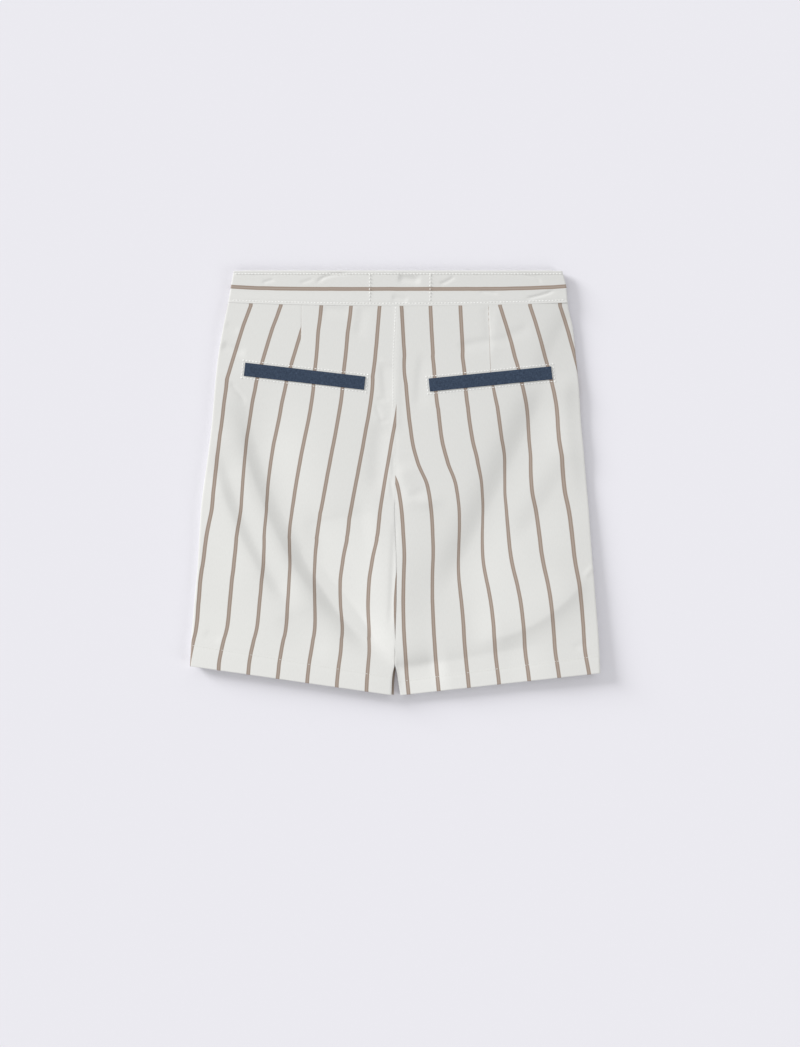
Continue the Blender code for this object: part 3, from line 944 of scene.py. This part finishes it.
def striped_cotton():
    """Yarn-dyed cotton twill, pressed: matt off-white with narrow taupe stripes, whose two outer
    yarns are darker than the middle ones. Real yarns are 0.3 mm wide and a twill line 0.5 mm: the
    slubs, 0.7 by 3.8 mm, and the lines are drawn coarser, so that they show."""
    material, tree, shader = new_material("yarn_dyed_cotton_twill")
    uv = add_node(tree, "ShaderNodeUVMap", uv_map="cloth").outputs["UV"]
    parts = add_node(tree, "ShaderNodeSeparateXYZ", {"Vector": uv}).outputs
    wander = add_node(
        tree, "ShaderNodeTexNoise", {"Vector": uv, "Scale": cells(WANDER_OVER), "Detail": 2.0}
    ).outputs["Fac"]
    shifted = add_node(
        tree, "ShaderNodeMath", {0: wander, 1: STRIPE_WANDER * MM, 2: parts["X"]},
        operation="MULTIPLY_ADD",
    ).outputs[0]
    from_stripe = add_node(
        tree, "ShaderNodeMath", {0: shifted, 1: STRIPE_PITCH / 2 * MM}, operation="PINGPONG"
    ).outputs[0]
    stripe = add_node(
        tree, "ShaderNodeMapRange",
        {
            "Value": from_stripe, "From Min": (STRIPE_WIDE / 2 + STRIPE_EDGE) * MM,
            "From Max": (STRIPE_WIDE / 2 - STRIPE_EDGE) * MM,
        },
        interpolation_type="SMOOTHSTEP",
    ).outputs[0]
    middle = add_node(
        tree, "ShaderNodeMapRange",
        {"Value": from_stripe, "From Min": MIDDLE_YARNS * MM, "From Max": MIDDLE_CLEAR * MM},
        interpolation_type="SMOOTHSTEP",
    ).outputs[0]
    yarns = add_node(
        tree, "ShaderNodeMapping",
        {"Vector": uv, "Scale": (cells(SLUB_WIDE), cells(SLUB_LONG), 1.0)},
    ).outputs[0]
    slub = add_node(
        tree, "ShaderNodeTexNoise", {"Vector": yarns, "Scale": 1.0, "Detail": 3.0}
    ).outputs["Fac"]
    # Painted shade and light: a darker and a lighter copy of the white, mixed by place along the
    # falloff direction, stand in for the light falling off across the garment
    at = add_node(tree, "ShaderNodeTexCoord").outputs["Object"]
    slanted = add_node(
        tree, "ShaderNodeVectorMath", {0: at, 1: PAINTED_SHADE_ALONG}, operation="DOT_PRODUCT"
    ).outputs["Value"]
    painted_light_share = add_node(
        tree, "ShaderNodeMapRange",
        {"Value": slanted, "From Min": -PAINTED_SHADE_REACH * MM, "From Max": PAINTED_SHADE_REACH * MM},
    ).outputs[0]
    painted_shaded_white, painted_lit_white = (
        add_node(
            tree, "ShaderNodeMix",
            {"Factor": slub, 6: linear(yarn), 7: linear(slubbed)}, data_type="RGBA",
        ).outputs[2]
        for yarn, slubbed in (("#D3D3D0", "#DBDBD9"), ("#DFDFDC", "#E7E7E4"))
    )
    white = add_node(
        tree, "ShaderNodeMix", {"Factor": painted_light_share, 6: painted_shaded_white, 7: painted_lit_white}, data_type="RGBA"
    ).outputs[2]
    taupe = add_node(
        tree, "ShaderNodeMix",
        {"Factor": middle, 6: linear("#9A8A7E"), 7: linear("#A89A90")}, data_type="RGBA",
    ).outputs[2]
    colour = add_node(
        tree, "ShaderNodeMix", {"Factor": stripe, 6: white, 7: taupe}, data_type="RGBA"
    ).outputs[2]
    tree.links.new(colour, shader.inputs["Base Color"])
    shader.inputs["Roughness"].default_value = 0.88
    shader.inputs["Specular IOR Level"].default_value = 0.25
    shader.inputs["Sheen Weight"].default_value = 0.05
    shader.inputs["Sheen Roughness"].default_value = 0.6
    # A diagonal wave repeats once in tau / 10 of its scaled coordinates' sum
    twill = add_node(
        tree, "ShaderNodeTexWave",
        {
            "Vector": uv, "Scale": cells(TWILL_LINE) * math.tau / 10 / math.sqrt(2),
            "Distortion": 1.2, "Detail": 2.0, "Detail Scale": 3.0,
        },
        wave_type="BANDS", bands_direction="DIAGONAL",
    ).outputs["Fac"]
    height = add_node(
        tree, "ShaderNodeMix", {"Factor": 0.5, 2: twill, 3: slub}, data_type="FLOAT"
    ).outputs[0]
    bump = add_node(
        tree, "ShaderNodeBump", {"Height": height, "Strength": 0.25, "Distance": TWILL_DEEP * MM}
    ).outputs[0]
    tree.links.new(bump, shader.inputs["Normal"])
    return material


def navy_chambray():
    """Plain-woven chambray, dark blue warp with paler weft: matt, with fine flecks across. The
    flecks are drawn twice as wide as the real 0.3 mm yarns, so that they show."""
    material, tree, shader = new_material("navy_cotton_chambray")
    uv = add_node(tree, "ShaderNodeUVMap", uv_map="cloth").outputs["UV"]
    wide, long = cells(FLECK_WIDE), cells(FLECK_LONG)
    warp, weft = (
        add_node(
            tree, "ShaderNodeMapping", {"Vector": uv, "Scale": (*scale, 1.0)}
        ).outputs[0]
        for scale in ((long, wide), (wide, long))
    )
    along, across = (
        add_node(
            tree, "ShaderNodeTexNoise", {"Vector": yarns, "Scale": 1.0, "Detail": 2.0}
        ).outputs["Fac"]
        for yarns in (warp, weft)
    )
    flecks = add_node(
        tree, "ShaderNodeMath", {0: along, 1: across}, operation="MULTIPLY"
    ).outputs[0]
    shown = add_node(
        tree, "ShaderNodeMapRange", {"Value": flecks, "From Min": 0.12, "From Max": 0.42}
    ).outputs[0]
    colour = add_node(
        tree, "ShaderNodeMix",
        {"Factor": shown, 6: linear("#2B3748"), 7: linear("#445267")}, data_type="RGBA",
    ).outputs[2]
    tree.links.new(colour, shader.inputs["Base Color"])
    shader.inputs["Roughness"].default_value = 0.9
    shader.inputs["Specular IOR Level"].default_value = 0.2
    bump = add_node(
        tree, "ShaderNodeBump", {"Height": flecks, "Strength": 0.4, "Distance": FLECK_DEEP * MM}
    ).outputs[0]
    tree.links.new(bump, shader.inputs["Normal"])
    return material


def sewing_thread(name, dark, light):
    """Spun polyester sewing thread: matt, slightly lighter where the plies turn up."""
    material, tree, shader = new_material(name)
    at = add_node(tree, "ShaderNodeTexCoord").outputs["Object"]
    plies = add_node(
        tree, "ShaderNodeTexNoise", {"Vector": at, "Scale": cells(THREAD_PLY), "Detail": 1.0}
    ).outputs["Fac"]
    colour = add_node(
        tree, "ShaderNodeMix",
        {"Factor": plies, 6: linear(dark), 7: linear(light)}, data_type="RGBA",
    ).outputs[2]
    tree.links.new(colour, shader.inputs["Base Color"])
    shader.inputs["Roughness"].default_value = 0.6
    return material


def studio_paper():
    """Seamless studio paper: pale lilac-grey, quite matt."""
    material, tree, shader = new_material("studio_paper")
    at = add_node(tree, "ShaderNodeTexCoord").outputs["Object"]
    grain = add_node(
        tree, "ShaderNodeTexNoise", {"Vector": at, "Scale": cells(PAPER_GRAIN), "Detail": 2.0}
    ).outputs["Fac"]
    colour = add_node(
        tree, "ShaderNodeMix",
        {"Factor": grain, 6: linear("#E9E8EE"), 7: linear("#EBEAF0")}, data_type="RGBA",
    ).outputs[2]
    tree.links.new(colour, shader.inputs["Base Color"])
    shader.inputs["Roughness"].default_value = 1.0
    shader.inputs["Specular IOR Level"].default_value = 0.0
    return material


# ---------------------------------------------------------------- studio

FLOOR_HALF, FLOOR_BELOW = 20.0, 0.0003     # metres


def make_floor():
    mesh = bpy.data.meshes.new("studio_floor")
    half, low = FLOOR_HALF, -FLOOR_BELOW
    mesh.from_pydata(
        [(-half, -half, low), (half, -half, low), (half, half, low), (-half, half, low)],
        [], [(0, 1, 2, 3)],
    )
    mesh.materials.append(studio_paper())
    floor = add_object("studio_floor", mesh)


# Each lamp's share of the light on level ground, its height over the horizon, the compass
# direction that it comes from (anticlockwise from the right) and its width, in degrees
Lamp = namedtuple("Lamp", "share height comes_from width")
LAMPS = {"window_side": Lamp(0.30, 16.5, 149, 22), "room_side": Lamp(0.08, 28, -30, 30)}
SKY = 0.632


def make_lights():
    world = bpy.data.worlds.new("studio")
    world.use_nodes = True
    sky = world.node_tree.nodes["Background"]
    sky.inputs["Color"].default_value = (1.0, 1.0, 1.0, 1.0)
    sky.inputs["Strength"].default_value = SKY
    bpy.context.scene.world = world
    for name, lamp in LAMPS.items():
        sun = bpy.data.lights.new(name, "SUN")
        sun.energy = math.pi * lamp.share / math.sin(math.radians(lamp.height))
        sun.angle = math.radians(lamp.width)
        holder = add_object(name, sun)
        tilt, turn = math.radians(90 - lamp.height), math.radians(90 + lamp.comes_from)
        holder.rotation_euler = (tilt, 0, turn)


def make_camera():
    lens = bpy.data.cameras.new("camera")
    lens.sensor_fit = "VERTICAL"
    lens.sensor_height = SENSOR
    lens.lens = SENSOR * CAMERA_AWAY / (FRAME_HIGH * PIXEL * MM)
    camera = add_object("camera", lens)
    x, y, _ = place(np.array(CAMERA_X), np.array(CAMERA_DROP), np.array(0.0))
    camera.location = (float(x), float(y), CAMERA_AWAY)
    bpy.context.scene.camera = camera


# ---------------------------------------------------------------- the whole

def declare(piece, node=None):
    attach(piece, "root")
    if node:
        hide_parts(node)
    return piece


def build():
    bpy.context.scene.view_settings.view_transform = "Standard"
    cotton, chambray = striped_cotton(), navy_chambray()
    white_thread = sewing_thread("spun_polyester_white", "#F2F2F0", "#FDFDFB")
    ecru_thread = sewing_thread("spun_polyester_ecru", "#D8D9D4", "#E4E4E0")
    for side in ("left", "right"):
        front = declare(front_shell(side, cotton), f"front_panel_{side}")
        band = declare(
            front_band_shell(side, cotton), f"front_waistband_{side}"
        )
        back = declare(back_shell(side, cotton), f"back_panel_{side}")
    back_band = declare(back_band_shell(cotton), "back_waistband")
    for name in WELTS:
        welt = declare(welt_shell(name, chambray), name)
    tree = stitch_tree()
    welt_rows = [row for name in WELTS for row in welt_stitch_rows(name)]
    hem_rows = [hem_stitch_row(side) for side in ("left", "right")]
    for name, rows, thick, thread in (
        ("stitches_waistband", band_stitch_rows(), THREAD, white_thread),
        ("stitches_welts", welt_rows, THREAD, white_thread),
        ("stitches_hems", hem_rows, FINE_THREAD, ecru_thread),
        ("stitches_back_seam", [seam_stitch_row()], FINE_THREAD, white_thread),
    ):
        declare(sew(name, rows, thick, thread, tree))
    make_floor()
    make_lights()
    make_camera()


build()
